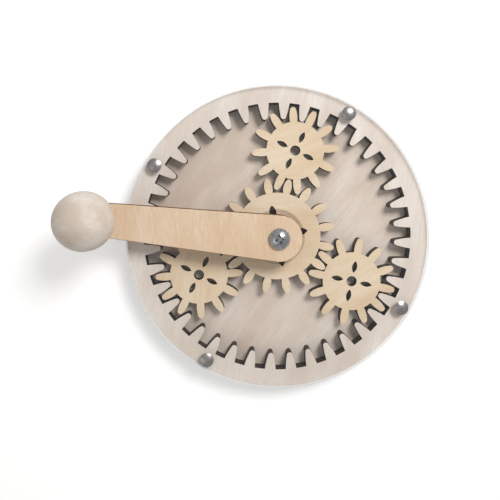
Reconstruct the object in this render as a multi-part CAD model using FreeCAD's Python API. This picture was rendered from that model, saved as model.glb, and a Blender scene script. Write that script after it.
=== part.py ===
import FreeCAD, Part
import math
import os

# Hand-cranked planetary gear toy, laid flat on its back, in millimetres.
# Z is the gear axis, z = 0 is the back face, and +Z points out of the clear cover.
# From the back: base disc, ring gear with a sun and three loose planets inside,
# clear cover, then the crank arm on its spacer and the ball knob over the rim.
# Every round part that turns is plain wood on a plain post, as on a cut-plywood toy.

V = FreeCAD.Vector
UP = V(0, 0, 1)

# discs
base_thick = 6.0
cover_thick = 3.0
cover_edge_chamfer = 0.3
rim_width = 8.3

# gears: module, teeth and the angle of the first tooth, which set where the planets sit
module = 3.125
ring_teeth = 40
sun_teeth = 16
planet_teeth = 12
ring_phase = 6.0
sun_phase = 10.4
planet_steps = (11, 31, 50)
gear_thick = 5.0
gear_float = 0.3

# teeth in modules: heights above and below the pitch circle, widths at root, belly and shoulder
ring_tooth = {"add": 1.28, "ded": 1.344, "root": 1.73, "belly": 1.31, "shoulder": 0.83}
sun_tooth = {"add": 1.25, "ded": 1.056, "root": 1.0, "belly": 1.3, "shoulder": 0.8}
planet_tooth = {"add": 1.008, "ded": 1.36, "root": 1.15, "belly": 1.23, "shoulder": 0.86}
belly_share = 0.5
shoulder_share = 0.88

# see-through openings in the gears
slot_count = 4
planet_hole_dia = 5.1
planet_slot = {"length": 6.0, "width": 2.5, "from_hole": 1.75}
planet_slot_turn = 60.0
sun_slot = {"length": 7.2, "width": 3.5, "past_spacer": 4.5}

# axle: a bolt clamped through a sleeve into a tee nut let into the back
bolt_dia = 5.0
bolt_tip_level = 2.0
bolt_head_dia = 10.0
bolt_head_height = 3.4
sleeve_dia = 7.0
tee_flange_dia = 15.0
tee_flange_thick = 1.2
tee_barrel_dia = 6.4
tee_barrel_below_gears = 0.6
tee_prong_count = 3
tee_prong_radius = 5.9
tee_prong = {"radial": 0.8, "wide": 2.0, "tall": 3.0}
tee_sink = 0.2

# slip washer under the sun gear
slip_washer_dia = 16.0
slip_washer_thick = 0.6

# crank
spacer_dia = 22.0
spacer_thick = 6.0
spacer_to_cover = 2.5
arm_thick = 6.0
knob_past_rim = 14.0
crank_angle = 174.0
arm_hub_dia = 22.3
arm_end_dia = 16.0
arm_edge_round = 0.5
dowel_dia = 4.0
dowel_sink = 0.2
dowel_in_arm = 3.2

# knob
ball_dia = 27.0
ball_seat_dia = 12.0
knob_sleeve_dia = 6.0
knob_washer_thick = 0.8
knob_washer_inset = 0.5
knob_screw_dia = 4.0
knob_screw_head_dia = 8.0
knob_screw_head_height = 2.8
knob_screw_past_insert = 1.0
insert_dia = 6.2
insert_length = 10.0
knob_bore_spare = 3.0

# four binding posts that hold the discs together, spread from the first one by quarter turns
post_count = 4
post_from_edge = 4.7
post_angle = 60.0
post_dia = 4.0
post_head_dia = 7.0
post_head_rim = 0.3
post_head_rise = 1.0
post_bottom = 3.0
post_wall_above_screw = 2.0
post_screw_dia = 2.5
post_screw_length = 8.0
post_screw_head_dia = 6.5
post_screw_head_thick = 1.1
post_screw_sink = 0.3
post_slot = {"width": 0.9, "depth": 0.6}

# fits, radial unless named as a gap
running_clearance = 0.06
fixing_clearance = 0.1
thread_clearance = 0.05
recess_clearance = 0.3
washer_gap = 0.1
cover_gap = 0.2
head_gap = 0.2
knob_gap = 0.15

# cross recess in the two pan-head screws, as shares of the head
cross_reach = 0.27
cross_wing = 0.13
cross_depth = 0.62
cross_floor = 0.4
head_rim_share = 0.3

# levels up the stack
ring_level = base_thick
ring_thick = washer_gap + slip_washer_thick + washer_gap + gear_thick + cover_gap
cover_level = ring_level + ring_thick
cover_top = cover_level + cover_thick
planet_level = base_thick + gear_float
slip_level = base_thick + washer_gap
sun_level = slip_level + slip_washer_thick + washer_gap
spacer_level = sun_level + gear_thick
arm_level = spacer_level + spacer_thick
arm_top = arm_level + arm_thick
bolt_head_level = arm_top + head_gap

# places worked out from the gears
ring_pitch = module * ring_teeth / 2
sun_pitch = module * sun_teeth / 2
planet_pitch = module * planet_teeth / 2
orbit_radius = sun_pitch + planet_pitch
disc_dia = 2 * (ring_pitch + module * ring_tooth["ded"] + rim_width)
post_radius = disc_dia / 2 - post_from_edge

# places worked out from what they fit
crank_radius = disc_dia / 2 + knob_past_rim
cover_hole_dia = spacer_dia + 2 * spacer_to_cover
dowel_radius = (sleeve_dia + spacer_dia) / 4
planet_slot_radius = planet_hole_dia / 2 + planet_slot["from_hole"] + planet_slot["length"] / 2
sun_slot_radius = (spacer_dia - sun_slot["length"]) / 2 + sun_slot["past_spacer"]
knob_washer_dia = ball_seat_dia - 2 * knob_washer_inset


def polar(radius, degrees, level=0.0):
    turn = math.radians(degrees)
    return V(radius * math.cos(turn), radius * math.sin(turn), level)


def planet_place(step):
    """Where a planet sits, and its tooth angle there, for it to mesh with ring and sun at once."""
    ring_step = 360.0 / ring_teeth
    sun_step = 360.0 / sun_teeth
    planet_step = 360.0 / planet_teeth
    along = step + ring_phase / ring_step + sun_phase / sun_step
    orbit = along * 360.0 / (ring_teeth + sun_teeth)
    phase = orbit - planet_step * ((orbit - ring_phase) / ring_step - 0.5)
    return orbit, phase % planet_step


knob_place = polar(crank_radius, crank_angle)


def rod(dia, height, level=0.0, at=V(0, 0, 0)):
    return Part.makeCylinder(dia / 2, height, V(at.x, at.y, level), UP)


def tube(outer, inner, height, level=0.0, at=V(0, 0, 0)):
    return rod(outer, height, level, at).cut(rod(inner, height, level, at))


def turned(shape, degrees, centre=V(0, 0, 0)):
    copy = shape.copy()
    copy.rotate(centre, UP, degrees)
    return copy


def moved(shape, by):
    copy = shape.copy()
    copy.translate(by)
    return copy


def around(shape, count, start=0.0):
    return [turned(shape, start + k * 360.0 / count) for k in range(count)]


def gear_outline(teeth, pitch, tooth, phase, inward=False):
    """A closed wire of rounded teeth: two flank arcs, a tip arc and a root arc each."""
    way = -1 if inward else 1
    root_radius = pitch - way * module * tooth["ded"]
    tip_radius = pitch + way * module * tooth["add"]

    def point(share, width, side, centre):
        radius = root_radius + share * (tip_radius - root_radius)
        lean = math.degrees(math.asin(module * width / 2 / radius))
        return polar(radius, centre + side * lean)

    edges = []
    step = 360.0 / teeth
    for k in range(teeth):
        centre = phase + k * step
        right = [
            point(0, tooth["root"], -1, centre),
            point(belly_share, tooth["belly"], -1, centre),
            point(shoulder_share, tooth["shoulder"], -1, centre),
        ]
        left = [
            point(shoulder_share, tooth["shoulder"], 1, centre),
            point(belly_share, tooth["belly"], 1, centre),
            point(0, tooth["root"], 1, centre),
        ]
        following = point(0, tooth["root"], -1, centre + step)
        edges.append(Part.Arc(*right).toShape())
        edges.append(Part.Arc(right[2], polar(tip_radius, centre), left[0]).toShape())
        edges.append(Part.Arc(*left).toShape())
        edges.append(Part.Arc(left[2], polar(root_radius, centre + step / 2), following).toShape())
    return Part.Wire(edges)


def plate(wire, thick, level):
    return moved(Part.Face(wire).extrude(V(0, 0, thick)), V(0, 0, level))


def leaf_slot(slot, radius, thick, level):
    """A pointed oval cut along +X at the given radius: two arcs that meet at its ends."""
    inner = V(radius - slot["length"] / 2, 0, 0)
    outer = V(radius + slot["length"] / 2, 0, 0)
    upper = Part.Arc(inner, V(radius, slot["width"] / 2, 0), outer).toShape()
    lower = Part.Arc(outer, V(radius, -slot["width"] / 2, 0), inner).toShape()
    return plate(Part.Wire([upper, lower]), thick, level)


def post_holes(dia, height, level):
    return around(rod(dia, height, level, V(post_radius, 0, 0)), post_count, post_angle)


def tee_prongs(spare):
    wide = tee_prong["wide"] + 2 * spare
    radial = tee_prong["radial"] + 2 * spare
    prong = Part.makeBox(radial, wide, tee_prong["tall"] + spare)
    prong.translate(V(tee_prong_radius - radial / 2, -wide / 2, tee_sink + tee_flange_thick))
    return around(prong, tee_prong_count)


def base_disc():
    disc = rod(disc_dia, base_thick)
    flange_depth = tee_sink + tee_flange_thick
    screw_depth = post_screw_sink + post_screw_head_thick
    cuts = [
        rod(tee_barrel_dia + 2 * fixing_clearance, base_thick),
        rod(tee_flange_dia + 2 * recess_clearance, flange_depth),
    ]
    cuts += tee_prongs(thread_clearance)
    cuts += post_holes(post_dia + 2 * fixing_clearance, base_thick, 0)
    cuts += post_holes(post_screw_head_dia + 2 * recess_clearance, screw_depth, 0)
    return disc.cut(cuts)


def ring_gear():
    teeth = gear_outline(ring_teeth, ring_pitch, ring_tooth, ring_phase, inward=True)
    ring = rod(disc_dia, ring_thick, ring_level)
    cuts = [plate(teeth, ring_thick, ring_level)]
    cuts += post_holes(post_dia + 2 * fixing_clearance, ring_thick, ring_level)
    return ring.cut(cuts)


def cover_disc():
    disc = rod(disc_dia, cover_thick, cover_level)
    rims = [e for e in disc.Edges if isinstance(e.Curve, Part.Circle)]
    disc = disc.makeChamfer(cover_edge_chamfer, rims)
    cuts = [rod(cover_hole_dia, cover_thick, cover_level)]
    cuts += post_holes(post_dia + 2 * fixing_clearance, cover_thick, cover_level)
    return disc.cut(cuts)


def dowel_pair(dia, bottom, top):
    first = rod(dia, top - bottom, bottom, V(dowel_radius, 0, 0))
    midway = sun_phase + 180.0 / slot_count
    return around(first, 2, midway)


def sun_gear():
    teeth = gear_outline(sun_teeth, sun_pitch, sun_tooth, sun_phase)
    slot = leaf_slot(sun_slot, sun_slot_radius, gear_thick, sun_level)
    cuts = around(slot, slot_count, sun_phase)
    cuts += dowel_pair(dowel_dia, sun_level, spacer_level)
    cuts.append(rod(sleeve_dia + 2 * running_clearance, gear_thick, sun_level))
    return plate(teeth, gear_thick, sun_level).cut(cuts)


def planet_gear(step):
    orbit, phase = planet_place(step)
    teeth = gear_outline(planet_teeth, planet_pitch, planet_tooth, phase)
    slot = leaf_slot(planet_slot, planet_slot_radius, gear_thick, planet_level)
    cuts = around(slot, slot_count, phase + planet_slot_turn)
    cuts.append(rod(planet_hole_dia, gear_thick, planet_level))
    gear = plate(teeth, gear_thick, planet_level).cut(cuts)
    return moved(gear, polar(orbit_radius, orbit))


def slip_washer():
    bore = sleeve_dia + 2 * running_clearance
    return tube(slip_washer_dia, bore, slip_washer_thick, slip_level)


def hub_spacer():
    bore = rod(sleeve_dia + 2 * running_clearance, spacer_thick, spacer_level)
    dowels = dowel_pair(dowel_dia, spacer_level, arm_level)
    return rod(spacer_dia, spacer_thick, spacer_level).cut([bore] + dowels)


def drive_dowels():
    pair = dowel_pair(dowel_dia, sun_level + dowel_sink, arm_level + dowel_in_arm - dowel_sink)
    return Part.makeCompound(pair)


def arm_blank():
    """Two round ends and the straight sides that touch both, drawn along +X."""
    hub = arm_hub_dia / 2
    end = arm_end_dia / 2
    lean = math.degrees(math.acos((hub - end) / crank_radius))
    tip = V(crank_radius, 0, 0)
    hub_up = polar(hub, lean)
    hub_down = polar(hub, -lean)
    end_up = tip + polar(end, lean)
    end_down = tip + polar(end, -lean)
    edges = [
        Part.Arc(hub_up, V(-hub, 0, 0), hub_down).toShape(),
        Part.LineSegment(hub_down, end_down).toShape(),
        Part.Arc(end_down, tip + V(end, 0, 0), end_up).toShape(),
        Part.LineSegment(end_up, hub_up).toShape(),
    ]
    return plate(Part.Wire(edges), arm_thick, arm_level)


def crank_arm():
    blank = arm_blank()
    faces = [f for f in blank.Faces if abs(f.normalAt(0, 0).z) > 0.99]
    rims = [e for f in faces for e in f.Edges]
    arm = turned(blank.makeFillet(arm_edge_round, rims), crank_angle)
    cuts = dowel_pair(dowel_dia, arm_level, arm_level + dowel_in_arm)
    cuts.append(rod(sleeve_dia + 2 * running_clearance, arm_thick, arm_level))
    knob_bore = knob_sleeve_dia + 2 * running_clearance
    cuts.append(rod(knob_bore, arm_thick, arm_level, knob_place))
    return arm.cut(cuts)


def domed_head(dia, rim, rise, level, at=V(0, 0, 0)):
    """A round head with a straight rim and a top that is part of a ball."""
    dome = ((dia / 2) ** 2 + rise ** 2) / (2 * rise)
    ball = Part.makeSphere(dome, V(at.x, at.y, level + rim + rise - dome))
    return rod(dia, rim + rise, level, at).common(ball)


def pan_head(dia, height, level):
    rim = height * head_rim_share
    head = domed_head(dia, rim, height - rim, level)
    return head.cut(cross_recess(dia, height, level))


def cross_recess(dia, height, level):
    """Two crossed wings that narrow towards the floor and run out through the top."""
    reach = dia * cross_reach
    half_wing = dia * cross_wing / 2
    top = level + height
    floor = top - height * cross_depth
    above = top + height * cross_depth
    corners = [
        V(-reach * (2 - cross_floor), -half_wing, above),
        V(-reach * cross_floor, -half_wing, floor),
        V(reach * cross_floor, -half_wing, floor),
        V(reach * (2 - cross_floor), -half_wing, above),
    ]
    wing = Part.Face(Part.makePolygon(corners + corners[:1])).extrude(V(0, 2 * half_wing, 0))
    return wing.fuse(turned(wing, 90))


def axle_bolt():
    shank = rod(bolt_dia, bolt_head_level - bolt_tip_level, bolt_tip_level)
    head = turned(pan_head(bolt_head_dia, bolt_head_height, bolt_head_level), sun_phase)
    return shank.fuse(head).removeSplitter()


def axle_sleeve():
    bore = bolt_dia + 2 * fixing_clearance
    return tube(sleeve_dia, bore, bolt_head_level - base_thick, base_thick)


def tee_nut():
    flange = rod(tee_flange_dia, tee_flange_thick, tee_sink)
    barrel = rod(tee_barrel_dia, base_thick - tee_barrel_below_gears - tee_sink, tee_sink)
    whole = flange.fuse([barrel] + tee_prongs(0))
    bore = rod(bolt_dia + 2 * thread_clearance, base_thick)
    return whole.cut(bore).removeSplitter()


knob_screw_level = arm_level - knob_gap - knob_washer_thick
knob_seat_level = arm_top + knob_gap + knob_washer_thick
ball_centre = knob_seat_level + math.sqrt((ball_dia / 2) ** 2 - (ball_seat_dia / 2) ** 2)


def knob():
    """A turned ball with a small flat seat, bored up the middle for its insert."""
    radius = ball_dia / 2
    seat = ball_seat_dia / 2
    edges = [
        Part.LineSegment(V(0, 0, knob_seat_level), V(seat, 0, knob_seat_level)).toShape(),
        Part.Arc(V(seat, 0, knob_seat_level), V(radius, 0, ball_centre),
                 V(0, 0, ball_centre + radius)).toShape(),
        Part.LineSegment(V(0, 0, ball_centre + radius), V(0, 0, knob_seat_level)).toShape(),
    ]
    ball = Part.Face(Part.Wire(edges)).revolve(V(0, 0, 0), UP, 360)
    bore = rod(insert_dia, insert_length + knob_bore_spare, knob_seat_level)
    return moved(ball.cut(bore), knob_place)


def knob_insert():
    bore = knob_screw_dia + 2 * thread_clearance
    return tube(insert_dia, bore, insert_length, knob_seat_level, knob_place)


def knob_sleeve():
    bore = knob_screw_dia + 2 * fixing_clearance
    length = arm_thick + 2 * knob_gap
    return tube(knob_sleeve_dia, bore, length, arm_level - knob_gap, knob_place)


def knob_washer(level):
    bore = knob_screw_dia + 2 * fixing_clearance
    return tube(knob_washer_dia, bore, knob_washer_thick, level, knob_place)


def knob_screw():
    """Pan-head screw put in from under the arm, so its head hangs below the lower washer."""
    length = knob_seat_level + insert_length + knob_screw_past_insert - knob_screw_level
    head = pan_head(knob_screw_head_dia, knob_screw_head_height, 0)
    head.rotate(V(0, 0, 0), V(1, 0, 0), 180)
    head.translate(V(0, 0, knob_screw_level))
    shank = rod(knob_screw_dia, length, knob_screw_level)
    return moved(head.fuse(shank).removeSplitter(), knob_place)


def rim_posts():
    """Plain domed heads on hollow shanks, closed at the head end."""
    place = V(post_radius, 0, 0)
    length = cover_top - post_bottom
    head = domed_head(post_head_dia, post_head_rim, post_head_rise, cover_top, place)
    shank = rod(post_dia, length, post_bottom, place)
    bore_dia = post_screw_dia + 2 * thread_clearance
    bore = rod(bore_dia, length - post_wall_above_screw, post_bottom, place)
    post = head.fuse(shank).removeSplitter().cut(bore)
    return Part.makeCompound(around(post, post_count, post_angle))


def rim_post_screws():
    """Flat slotted heads let into the back, with a straight shank up into each post."""
    place = V(post_radius, 0, 0)
    head = rod(post_screw_head_dia, post_screw_head_thick, post_screw_sink, place)
    shank = rod(post_screw_dia, post_screw_length, post_screw_sink + post_screw_head_thick, place)
    slot = Part.makeBox(post_screw_head_dia, post_slot["width"], post_slot["depth"])
    slot.translate(V(post_radius - post_screw_head_dia / 2, -post_slot["width"] / 2, post_screw_sink))
    screw = head.fuse(shank).removeSplitter().cut(slot)
    return Part.makeCompound(around(screw, post_count, post_angle))


parts = {
    "base_disc": base_disc(),
    "ring_gear": ring_gear(),
    "cover_disc": cover_disc(),
    "sun_gear": sun_gear(),
    "slip_washer": slip_washer(),
    "hub_spacer": hub_spacer(),
    "drive_dowels": drive_dowels(),
    "crank_arm": crank_arm(),
    "axle_bolt": axle_bolt(),
    "axle_sleeve": axle_sleeve(),
    "tee_nut": tee_nut(),
    "knob": knob(),
    "knob_insert": knob_insert(),
    "knob_sleeve": knob_sleeve(),
    "knob_upper_washer": knob_washer(arm_top + knob_gap),
    "knob_lower_washer": knob_washer(knob_screw_level),
    "knob_screw": knob_screw(),
    "rim_posts": rim_posts(),
    "rim_post_screws": rim_post_screws(),
}
for number, step in enumerate(planet_steps, 1):
    parts[f"planet_gear_{number}"] = planet_gear(step)

os.makedirs("parts", exist_ok=True)
for name, shape in parts.items():
    box = shape.BoundBox
    print(f"{name}: {len(shape.Solids)} solid(s), {shape.Volume:.1f} mm3, z {box.ZMin:.2f}..{box.ZMax:.2f}")
    shape.exportStep(f"parts/{name}.step")
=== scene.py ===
import bpy
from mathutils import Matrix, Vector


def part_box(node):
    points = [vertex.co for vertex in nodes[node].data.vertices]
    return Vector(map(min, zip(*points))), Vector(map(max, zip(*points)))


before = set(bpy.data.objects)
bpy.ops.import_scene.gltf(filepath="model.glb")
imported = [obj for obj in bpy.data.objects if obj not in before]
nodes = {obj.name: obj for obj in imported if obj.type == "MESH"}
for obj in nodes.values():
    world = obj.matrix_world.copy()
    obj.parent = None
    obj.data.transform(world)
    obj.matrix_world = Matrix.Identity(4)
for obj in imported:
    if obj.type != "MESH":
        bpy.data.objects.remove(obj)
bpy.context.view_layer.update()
import bpy
import math

mm = 0.001


def linear(hexColour):  # sRGB hex to the linear values that shaders take
    channels = [int(hexColour[i:i + 2], 16) / 255 for i in (0, 2, 4)]
    return [c / 12.92 if c <= 0.04045 else ((c + 0.055) / 1.055) ** 2.4 for c in channels] + [1]


def addNode(tree, kind, inputs=None, stops=(), **settings):
    # one node with its settings, its values and links, and a ramp's (place, hex) stops
    made = tree.nodes.new("ShaderNode" + kind)
    for key, value in settings.items():
        setattr(made, key, value)
    for key, value in (inputs or {}).items():
        if isinstance(value, bpy.types.NodeSocket):
            tree.links.new(value, made.inputs[key])
        else:
            made.inputs[key].default_value = value
    for number, (place, colour) in enumerate(stops):
        elements = made.color_ramp.elements
        element = elements[number] if number < len(elements) else elements.new(place)
        element.position = place
        element.color = linear(colour)
    return made


def newMaterial(name):
    material = bpy.data.materials.new(name)
    material.use_nodes = True
    tree = material.node_tree
    tree.nodes.clear()
    output = addNode(tree, "OutputMaterial")
    shader = addNode(tree, "BsdfPrincipled")
    tree.links.new(shader.outputs[0], output.inputs["Surface"])
    return material, tree, shader


def spread(value, fromRange, toRange):  # a map-range node's inputs: one range stretched on another
    return {"Value": value, 1: fromRange[0], 2: fromRange[1], 3: toRange[0], 4: toRange[1]}


def overlaid(fac, under, over):  # a colour mix's inputs, in the sockets that hold colours
    return {0: fac, 6: under, 7: over}


def faceShare(tree):  # 1 where a surface lies flat, 0 where it stands upright
    normal = addNode(tree, "SeparateXYZ", {0: addNode(tree, "NewGeometry").outputs["Normal"]})
    return addNode(tree, "Math", {0: normal.outputs["Z"]}, operation="ABSOLUTE").outputs[0]


def grain(tree, point, look, mark, detail, seedStep):
    # noise drawn out along the veneer, with a mark's real width and length
    turned = addNode(tree, "Mapping", {
        "Vector": point,
        "Rotation": (0, 0, math.radians(look["turn"])),
    })
    seed = look["seed"] + seedStep
    across, along = look[mark + "Across"], look[mark + "Along"]
    scaled = addNode(tree, "Mapping", {
        "Vector": turned.outputs[0],
        "Location": (seed, seed / 2, 0),
        "Scale": (1 / across, 1 / along, 1 / across),
    })
    noise = addNode(tree, "TexNoise", {"Vector": scaled.outputs[0], "Scale": 1.0, "Detail": detail})
    return noise.outputs["Fac"]


# birch plywood: thin rotary-cut veneers, sanded, then cut to shape by a laser
plywoodSizes = {
    "cloudAcross": 14 * mm, "cloudAlong": 40 * mm, "cloudPlaces": (0.36, 0.5, 0.66),
    "lineAcross": 1.2 * mm, "lineAlong": 14 * mm, "lineRange": (0.35, 0.65), "lineDepth": 0.35,
    "poreAcross": 0.7 * mm, "poreAlong": 3 * mm, "poreRange": (0.62, 0.72), "poreDepth": 0.3,
    "faceRange": (0.55, 0.9), "ply": 1.2 * mm, "sootPatch": 4 * mm, "burnMost": 0.6, "burnFull": 0.55,
    "roughnessAcross": (0.3, 0.7), "roughness": (0.58, 0.72), "dent": 0.1 * mm, "bump": 0.25,
    "charDark": "140904", "charLight": "3E2114",
}
paleBirch = dict(
    plywoodSizes, dark="D9CBBF", mid="E4D8CD", light="EBE2DA", line="D6C4B4", pore="C7AE9A",
    turn=12, seed=2.0,
)
backBirch = dict(
    plywoodSizes, dark="D3C1B1", mid="DFCFC0", light="E6DACE", line="CFBBA9", pore="BFA48E",
    turn=38, seed=11.0,
)
gearBirch = dict(
    plywoodSizes, dark="DFC6A4", mid="E6CFB0", light="ECDABF", line="D8BC98", pore="C9A57C",
    seed=5.0, seedStep=3.7,
)
armBirch = dict(
    plywoodSizes, dark="E0C3A2", mid="E6CBAD", light="EBD4BA", line="D6B592", pore="C79F77",
    turn=-6, seed=23.0, lineAlong=6 * mm, poreAlong=2 * mm, lineDepth=0.45,
    charDark="5A3A28", charLight="8A6248",
)


def plywood(name, look):
    # the faces show soft clouds, fine lines and short pores; the cut edges are scorched brown to
    # black, with the plies as bands
    material, tree, shader = newMaterial(name)
    point = addNode(tree, "TexCoord").outputs["Object"]
    clouds = grain(tree, point, look, "cloud", 3, 0)
    lines = grain(tree, point, look, "line", 4, 7)
    pores = grain(tree, point, look, "pore", 2, 13)
    tints = zip(look["cloudPlaces"], (look["dark"], look["mid"], look["light"]))
    cloudy = addNode(tree, "ValToRGB", {"Fac": clouds}, tints)
    lineFac = addNode(tree, "MapRange", spread(lines, look["lineRange"], (0.0, look["lineDepth"])))
    lined = addNode(
        tree, "Mix", overlaid(lineFac.outputs[0], cloudy.outputs[0], linear(look["line"])),
        data_type="RGBA",
    )
    poreFac = addNode(tree, "MapRange", spread(pores, look["poreRange"], (0.0, look["poreDepth"])))
    face = addNode(
        tree, "Mix", overlaid(poreFac.outputs[0], lined.outputs[2], linear(look["pore"])),
        data_type="RGBA",
    )

    height = addNode(tree, "SeparateXYZ", {0: point}).outputs["Z"]
    plies = addNode(tree, "Math", {0: height, 1: math.pi / look["ply"]}, operation="MULTIPLY")
    band = addNode(tree, "Math", {0: plies.outputs[0]}, operation="SINE")
    charred = addNode(tree, "MapRange", spread(band.outputs[0], (-1.0, 1.0), (0.0, look["burnMost"])))
    soot = addNode(tree, "TexNoise", {"Vector": point, "Scale": 1 / look["sootPatch"], "Detail": 3.0})
    burn = addNode(
        tree, "Math", {0: charred.outputs[0], 1: soot.outputs["Fac"]}, operation="MULTIPLY",
    )
    charStops = [(0.0, look["charDark"]), (look["burnFull"], look["charLight"])]
    edge = addNode(tree, "ValToRGB", {"Fac": burn.outputs[0]}, charStops)

    isFace = addNode(tree, "MapRange", spread(faceShare(tree), look["faceRange"], (0.0, 1.0)))
    colour = addNode(
        tree, "Mix", overlaid(isFace.outputs[0], edge.outputs[0], face.outputs[2]), data_type="RGBA",
    )
    tree.links.new(colour.outputs[2], shader.inputs["Base Color"])
    rough = addNode(tree, "MapRange", spread(lines, look["roughnessAcross"], look["roughness"]))
    tree.links.new(rough.outputs[0], shader.inputs["Roughness"])
    bump = addNode(tree, "Bump", {"Height": pores, "Strength": look["bump"], "Distance": look["dent"]})
    tree.links.new(bump.outputs[0], shader.inputs["Normal"])
    return material


# the rim's higher alpha of near-white is a painted highlight, the faces' faint alpha a painted
# reflection
acrylic = {"colour": "F2F5F4", "roughness": 0.06, "ior": 1.49, "faceRange": (0.2, 0.95),
           "paintedRimHighlightToVeilAlpha": (0.45, 0.015)}


def clearAcrylic(look):
    # cast acrylic sheet, clear with a polished rim: flat it only takes a faint white veil, a painted
    # reflection, and a sheen; on edge it is made far more opaque and pale, a painted highlight standing
    # for the light the rim gathers, and reads as a pale line
    material, tree, shader = newMaterial("castAcrylicClear")
    alpha = addNode(
        tree, "MapRange", spread(faceShare(tree), look["faceRange"], look["paintedRimHighlightToVeilAlpha"]),
    )
    tree.links.new(alpha.outputs[0], shader.inputs["Alpha"])
    shader.inputs["Base Color"].default_value = linear(look["colour"])
    shader.inputs["Roughness"].default_value = look["roughness"]
    shader.inputs["IOR"].default_value = look["ior"]
    return material


brightZinc = {"mark": 0.6 * mm, "smooth": 0.2, "dull": 0.32, "dark": "9C9D9F", "light": "CFCFD0"}
dullNickel = {"mark": 0.8 * mm, "smooth": 0.3, "dull": 0.42, "dark": "A39E9C", "light": "B5B0AE"}
brass = {"mark": 0.5 * mm, "smooth": 0.22, "dull": 0.35, "dark": "B8934A", "light": "CDAA62"}
metalMarks = {"range": (0.3, 0.7), "tints": (0.35, 0.65), "bump": 0.08, "dent": 0.05 * mm}


def smoothMetal(name, look):
    # plated steel or turned brass: faint tumbling marks break up its reflections
    material, tree, shader = newMaterial(name)
    point = addNode(tree, "TexCoord").outputs["Object"]
    marks = addNode(tree, "TexNoise", {"Vector": point, "Scale": 1 / look["mark"], "Detail": 4.0})
    marks = marks.outputs["Fac"]
    rough = addNode(
        tree, "MapRange", spread(marks, metalMarks["range"], (look["smooth"], look["dull"])),
    )
    tree.links.new(rough.outputs[0], shader.inputs["Roughness"])
    tints = zip(metalMarks["tints"], (look["dark"], look["light"]))
    tint = addNode(tree, "ValToRGB", {"Fac": marks}, tints)
    tree.links.new(tint.outputs[0], shader.inputs["Base Color"])
    shader.inputs["Metallic"].default_value = 1.0
    bump = addNode(tree, "Bump", {
        "Height": marks,
        "Strength": metalMarks["bump"],
        "Distance": metalMarks["dent"],
    })
    tree.links.new(bump.outputs[0], shader.inputs["Normal"])
    return material


wavePeriod = math.pi / 10  # a wave texture's own spacing at scale 1
paleBeech = {
    "patch": 9 * mm, "patchPlaces": (0.35, 0.5, 0.65),
    "dark": "D5C6B6", "mid": "DFD3C6", "light": "E7DED4",
    "ringSpacing": 10.053 * mm, "ringWander": 3 * mm, "ringStretch": 0.12, "ringWobble": 2.0,
    "ringRange": (0.2, 1.0), "ringDepth": 0.28, "ringColour": "CDB9A4",
    "streakAcross": 0.7143 * mm, "streakAlong": 6.25 * mm,
    "streakRange": (0.5, 0.75), "streakDepth": 0.4, "streak": "C2AA93",
    "roughness": 0.55, "bump": 0.2, "dent": 0.08 * mm,
}


def turnedBeech(name, look, centre):
    # a turned and sanded ball: growth rings round the pole where end grain shows, and streaks
    # that run down its sides, all very pale
    material, tree, shader = newMaterial(name)
    point = addNode(tree, "TexCoord").outputs["Object"]
    local = addNode(tree, "VectorMath", {0: point, 1: centre}, operation="SUBTRACT").outputs[0]
    patches = addNode(tree, "TexNoise", {"Vector": local, "Scale": 1 / look["patch"], "Detail": 2.0})
    tints = zip(look["patchPlaces"], (look["dark"], look["mid"], look["light"]))
    patchy = addNode(tree, "ValToRGB", {"Fac": patches.outputs["Fac"]}, tints)

    wander = addNode(
        tree, "VectorMath", {0: patches.outputs["Color"], 1: [look["ringWander"]] * 3},
        operation="MULTIPLY",
    )
    bent = addNode(tree, "VectorMath", {0: local, 1: wander.outputs[0]}, operation="ADD")
    tall = addNode(
        tree, "VectorMath", {0: bent.outputs[0], 1: (1, 1, look["ringStretch"])},
        operation="MULTIPLY",
    )
    rings = addNode(tree, "TexWave", {
        "Vector": tall.outputs[0],
        "Scale": wavePeriod / look["ringSpacing"],
        "Distortion": look["ringWobble"],
        "Detail": 2.0,
    }, wave_type="RINGS", rings_direction="Z")
    ringFac = addNode(
        tree, "MapRange", spread(rings.outputs["Fac"], look["ringRange"], (0.0, look["ringDepth"])),
    )
    ringed = addNode(
        tree, "Mix", overlaid(ringFac.outputs[0], patchy.outputs[0], linear(look["ringColour"])),
        data_type="RGBA",
    )

    across, along = look["streakAcross"], look["streakAlong"]
    drawn = addNode(tree, "Mapping", {"Vector": local, "Scale": (1 / across, 1 / across, 1 / along)})
    streaks = addNode(tree, "TexNoise", {"Vector": drawn.outputs[0], "Scale": 1.0, "Detail": 3.0})
    streaks = streaks.outputs["Fac"]
    streakFac = addNode(
        tree, "MapRange", spread(streaks, look["streakRange"], (0.0, look["streakDepth"])),
    )
    colour = addNode(
        tree, "Mix", overlaid(streakFac.outputs[0], ringed.outputs[2], linear(look["streak"])),
        data_type="RGBA",
    )
    tree.links.new(colour.outputs[2], shader.inputs["Base Color"])
    shader.inputs["Roughness"].default_value = look["roughness"]
    bump = addNode(tree, "Bump", {"Height": streaks, "Strength": look["bump"], "Distance": look["dent"]})
    tree.links.new(bump.outputs[0], shader.inputs["Normal"])
    return material


nylon = {"haze": 2 * mm, "dark": "E3E1D8", "light": "EDEBE4", "roughness": 0.45}


def nylonSheet(look):
    # natural nylon sheet, punched: milky and slightly waxy
    material, tree, shader = newMaterial("naturalNylon")
    point = addNode(tree, "TexCoord").outputs["Object"]
    haze = addNode(tree, "TexNoise", {"Vector": point, "Scale": 1 / look["haze"], "Detail": 2.0})
    stops = [(0.4, look["dark"]), (0.6, look["light"])]
    tint = addNode(tree, "ValToRGB", {"Fac": haze.outputs["Fac"]}, stops)
    tree.links.new(tint.outputs[0], shader.inputs["Base Color"])
    shader.inputs["Roughness"].default_value = look["roughness"]
    return material


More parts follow.
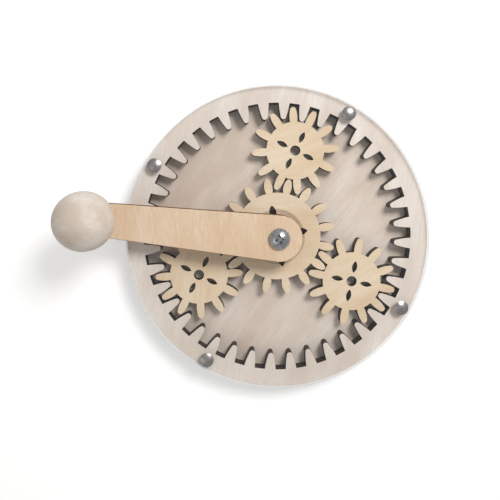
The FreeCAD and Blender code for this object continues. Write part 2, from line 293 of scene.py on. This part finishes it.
def finishPieces():
    ballLow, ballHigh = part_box("knob")
    ballCentre = [(low + high) / 2 for low, high in zip(ballLow, ballHigh)]
    armPlywood = plywood("birchPlywoodArm", armBirch)
    zinc = smoothMetal("zincPlatedSteel", brightZinc)
    nickel = smoothMetal("nickelPlatedSteel", dullNickel)
    machinedBrass = smoothMetal("machinedBrass", brass)
    beech = turnedBeech("turnedBeech", paleBeech, ballCentre)
    finishes = {
        "base_disc": plywood("birchPlywoodBack", backBirch),
        "ring_gear": plywood("birchPlywoodPale", paleBirch),
        "cover_disc": clearAcrylic(acrylic),
        "crank_arm": armPlywood,
        "hub_spacer": armPlywood,
        "drive_dowels": beech,
        "slip_washer": nylonSheet(nylon),
        "axle_bolt": zinc,
        "axle_sleeve": machinedBrass,
        "tee_nut": zinc,
        "knob": beech,
        "knob_insert": machinedBrass,
        "knob_sleeve": machinedBrass,
        "knob_upper_washer": zinc,
        "knob_lower_washer": zinc,
        "knob_screw": zinc,
        "rim_posts": nickel,
        "rim_post_screws": nickel,
    }
    gearTurns = {"sun_gear": 85, "planet_gear_1": 70, "planet_gear_2": 8, "planet_gear_3": 60}
    for number, (gear, turn) in enumerate(gearTurns.items()):  # each from its own bit of sheet
        seed = gearBirch["seed"] + gearBirch["seedStep"] * number
        finishes[gear] = plywood("birchPlywood_" + gear, dict(gearBirch, turn=turn, seed=seed))
    for name, material in finishes.items():
        slots = nodes[name].data.materials
        slots.clear()
        slots.append(material)
    print("materials on", len(finishes), "nodes")


handledEdges = {
    "pieces": ("crank_arm", "base_disc", "axle_bolt", "knob_screw", "rim_posts"),
    "width": 0.15 * mm, "segments": 2, "sharperThan": math.radians(50),
}
coverGap = 0.02 * mm  # a hair of air, so that the cover's underside and the ring don't share a plane


def softenPieces():
    lift = nodes["cover_disc"].modifiers.new("clearOfTheRing", "DISPLACE")
    lift.direction = "Z"
    lift.mid_level = 0
    lift.strength = coverGap
    for name in handledEdges["pieces"]:
        softened = nodes[name].modifiers.new("handledEdges", "BEVEL")
        softened.width = handledEdges["width"]
        softened.segments = handledEdges["segments"]
        softened.limit_method = "ANGLE"
        softened.angle_limit = handledEdges["sharperThan"]
    print("soft edges on", len(handledEdges["pieces"]), "nodes")


board = {"across": 4.0, "below": 0.05 * mm, "colour": "F4F3F1", "roughness": 0.9, "glow": 0.34}


def buildFloor():
    half, low = board["across"] / 2, -board["below"]
    corners = [(-half, -half, low), (half, -half, low), (half, half, low), (-half, half, low)]
    mesh = bpy.data.meshes.new("floor")
    mesh.from_pydata(corners, [], [(0, 1, 2, 3)])
    floor = bpy.data.objects.new("floor", mesh)
    bpy.context.scene.collection.objects.link(floor)
    material, tree, shader = newMaterial("paintedBoard")  # matt white board, white to the eye
    shader.inputs["Base Color"].default_value = linear(board["colour"])
    shader.inputs["Roughness"].default_value = board["roughness"]
    path = addNode(tree, "LightPath")
    glow = addNode(
        tree, "Math", {0: path.outputs["Is Camera Ray"], 1: board["glow"]}, operation="MULTIPLY",
    )
    shader.inputs["Emission Color"].default_value = (1, 1, 1, 1)
    tree.links.new(glow.outputs[0], shader.inputs["Emission Strength"])
    mesh.materials.append(material)


lamps = {
    "key": {"power": 2.3, "size": 0.22, "place": (0.22, 0.30, 0.46)},
    "fill": {"power": 0.5, "size": 0.6, "place": (-0.5, -0.3, 0.6)},
}
worldStrength = 0.40


def buildLights():  # round soft lamps that face the origin, and an even white surround
    for name, lamp in lamps.items():
        light = bpy.data.lights.new(name, "AREA")
        light.shape = "DISK"
        light.size = lamp["size"]
        light.energy = lamp["power"]
        holder = bpy.data.objects.new(name, light)
        bpy.context.scene.collection.objects.link(holder)
        x, y, z = holder.location = lamp["place"]
        holder.rotation_euler = (math.atan2(math.hypot(x, y), z), 0, math.atan2(x, -y))
    world = bpy.data.worlds.new("studio")
    bpy.context.scene.world = world
    world.use_nodes = True
    background = world.node_tree.nodes["Background"]
    background.inputs["Color"].default_value = (1, 1, 1, 1)
    background.inputs["Strength"].default_value = worldStrength


# straight down from above and to the left of the gear axis, near enough that the knob, which
# stands higher, leans outwards
view = {
    "place": (-21.1 * mm, 25.0 * mm, 237 * mm), "lens": 32.4, "sensor": 36, "nearest": 0.01,
    "shift": (0.03, -0.128),
}


def buildCamera():
    camera = bpy.data.cameras.new("overhead")
    camera.lens = view["lens"]
    camera.sensor_width = view["sensor"]
    camera.shift_x, camera.shift_y = view["shift"]
    camera.clip_start = view["nearest"]
    holder = bpy.data.objects.new("overhead", camera)
    holder.location = view["place"]
    bpy.context.scene.collection.objects.link(holder)
    bpy.context.scene.camera = holder


finishPieces()
softenPieces()
buildFloor()
buildLights()
buildCamera()
bpy.context.scene.view_settings.view_transform = "Standard"
print("floor, lights and camera")
